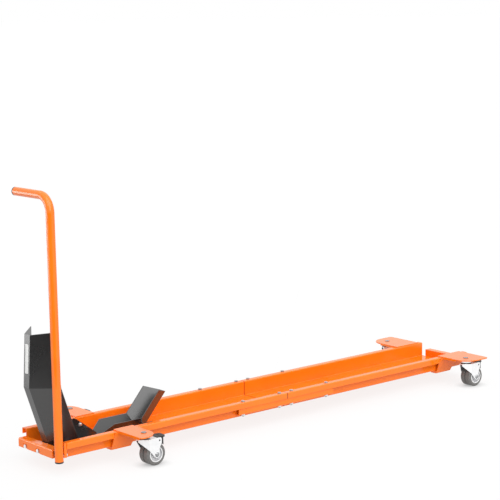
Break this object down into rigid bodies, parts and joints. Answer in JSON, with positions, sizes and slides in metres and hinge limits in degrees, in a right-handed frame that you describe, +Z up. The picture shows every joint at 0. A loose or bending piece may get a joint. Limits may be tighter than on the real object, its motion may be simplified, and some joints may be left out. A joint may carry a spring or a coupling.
{
  "type": "motorcycle dolly",
  "caption": "Orange wheel trough on braked swivel casters that moves a motorcycle sideways, with a black tipping front wheel chock and a tall bent tow handle.",
  "frame": {"origin": "on the floor under the middle of the dolly's box", "axes": "+X along the trough towards the rear wheel's end, chock at -X; +Y to the right; +Z up"},
  "size_m": [2.0982, 0.566, 0.977],
  "materials": {
    "orange_paint": "gloss powder coat",
    "black_paint": "gloss black powder coat",
    "zinc": "bright zinc plate",
    "white_zinc": "pale zinc plate",
    "black_plastic": "satin",
    "grey_plastic": "satin",
    "grey_rubber": "smooth"
  },
  "bodies": {
    "frame": {"caster_kingpins": "zinc", "cradle_stud_left": "zinc", "cradle_stud_right": "zinc", "crossbar_bolts": "zinc", "floor_bolts": "zinc", "frame_nuts": "zinc", "front_beam": "orange_paint", "front_cradle": "black_paint", "front_cross_member": "orange_paint", "front_crossbar": "orange_paint", "front_left_bearing_cup": "white_zinc", "front_right_bearing_cup": "white_zinc", "front_stop": "black_paint", "front_trough": "orange_paint", "handle_bolts": "zinc", "handle_end_plug": "black_plastic", "handle_foot_cap": "black_plastic", "handle_mount": "orange_paint", "handle_tube": "orange_paint", "outrigger_front_left": "orange_paint", "outrigger_front_right": "orange_paint", "outrigger_rear_left": "orange_paint", "outrigger_rear_right": "orange_paint", "pivot_bracket_left": "black_paint", "pivot_bracket_right": "black_paint", "pivot_pin": "zinc", "rear_beam": "orange_paint", "rear_cross_member": "orange_paint", "rear_crossbar": "orange_paint", "rear_left_bearing_cup": "white_zinc", "rear_right_bearing_cup": "white_zinc", "rear_trough": "orange_paint", "splice_bolts": "zinc", "splice_left": "orange_paint", "splice_right": "orange_paint", "stop_base": "black_paint"},
    "front_left_swivel": {"front_left_fork": "zinc", "front_left_axle": "zinc"},
    "front_left_wheel": {"front_left_hub": "grey_plastic", "front_left_tread": "grey_rubber"},
    "front_left_brake": {"front_left_pedal": "black_plastic"},
    "front_right_swivel": {"front_right_fork": "zinc", "front_right_axle": "zinc"},
    "front_right_wheel": {"front_right_hub": "grey_plastic", "front_right_tread": "grey_rubber"},
    "front_right_brake": {"front_right_pedal": "black_plastic"},
    "rear_left_swivel": {"rear_left_fork": "zinc", "rear_left_axle": "zinc"},
    "rear_left_wheel": {"rear_left_hub": "grey_plastic", "rear_left_tread": "grey_rubber"},
    "rear_left_brake": {"rear_left_pedal": "black_plastic"},
    "rear_right_swivel": {"rear_right_fork": "zinc", "rear_right_axle": "zinc"},
    "rear_right_wheel": {"rear_right_hub": "grey_plastic", "rear_right_tread": "grey_rubber"},
    "rear_right_brake": {"rear_right_pedal": "black_plastic"},
    "rocker": {"wheel_rocker": "black_paint"}
  },
  "joints": [
    {"name": "front_left_swivel_turn", "type": "hinge", "parent": "frame", "child": "front_left_swivel", "pos_m": [-0.72515, -0.228, 0.105], "axis": [0, 0, 1], "continuous": true},
    {"name": "front_left_wheel_spin", "type": "hinge", "parent": "front_left_swivel", "child": "front_left_wheel", "pos_m": [-0.69115, -0.228, 0.04], "axis": [0, 1, 0], "continuous": true},
    {"name": "front_left_brake_press", "type": "hinge", "parent": "front_left_swivel", "child": "front_left_brake", "pos_m": [-0.67915, -0.228, 0.089], "axis": [0, 1, 0], "range_deg": [0, 9]},
    {"name": "front_right_swivel_turn", "type": "hinge", "parent": "frame", "child": "front_right_swivel", "pos_m": [-0.72515, 0.228, 0.105], "axis": [0, 0, 1], "continuous": true},
    {"name": "front_right_wheel_spin", "type": "hinge", "parent": "front_right_swivel", "child": "front_right_wheel", "pos_m": [-0.69115, 0.228, 0.04], "axis": [0, 1, 0], "continuous": true},
    {"name": "front_right_brake_press", "type": "hinge", "parent": "front_right_swivel", "child": "front_right_brake", "pos_m": [-0.67915, 0.228, 0.089], "axis": [0, 1, 0], "range_deg": [0, 9]},
    {"name": "rear_left_swivel_turn", "type": "hinge", "parent": "frame", "child": "rear_left_swivel", "pos_m": [0.91485, -0.228, 0.105], "axis": [0, 0, 1], "continuous": true},
    {"name": "rear_left_wheel_spin", "type": "hinge", "parent": "rear_left_swivel", "child": "rear_left_wheel", "pos_m": [0.94885, -0.228, 0.04], "axis": [0, 1, 0], "continuous": true},
    {"name": "rear_left_brake_press", "type": "hinge", "parent": "rear_left_swivel", "child": "rear_left_brake", "pos_m": [0.96085, -0.228, 0.089], "axis": [0, 1, 0], "range_deg": [0, 9]},
    {"name": "rear_right_swivel_turn", "type": "hinge", "parent": "frame", "child": "rear_right_swivel", "pos_m": [0.91485, 0.228, 0.105], "axis": [0, 0, 1], "continuous": true},
    {"name": "rear_right_wheel_spin", "type": "hinge", "parent": "rear_right_swivel", "child": "rear_right_wheel", "pos_m": [0.94885, 0.228, 0.04], "axis": [0, 1, 0], "continuous": true},
    {"name": "rear_right_brake_press", "type": "hinge", "parent": "rear_right_swivel", "child": "rear_right_brake", "pos_m": [0.96085, 0.228, 0.089], "axis": [0, 1, 0], "range_deg": [0, 9]},
    {"name": "rocker_tip", "type": "hinge", "parent": "frame", "child": "rocker", "pos_m": [-0.58015, 0, 0.078], "axis": [0, 1, 0], "range_deg": [0, 45]}
  ]
}
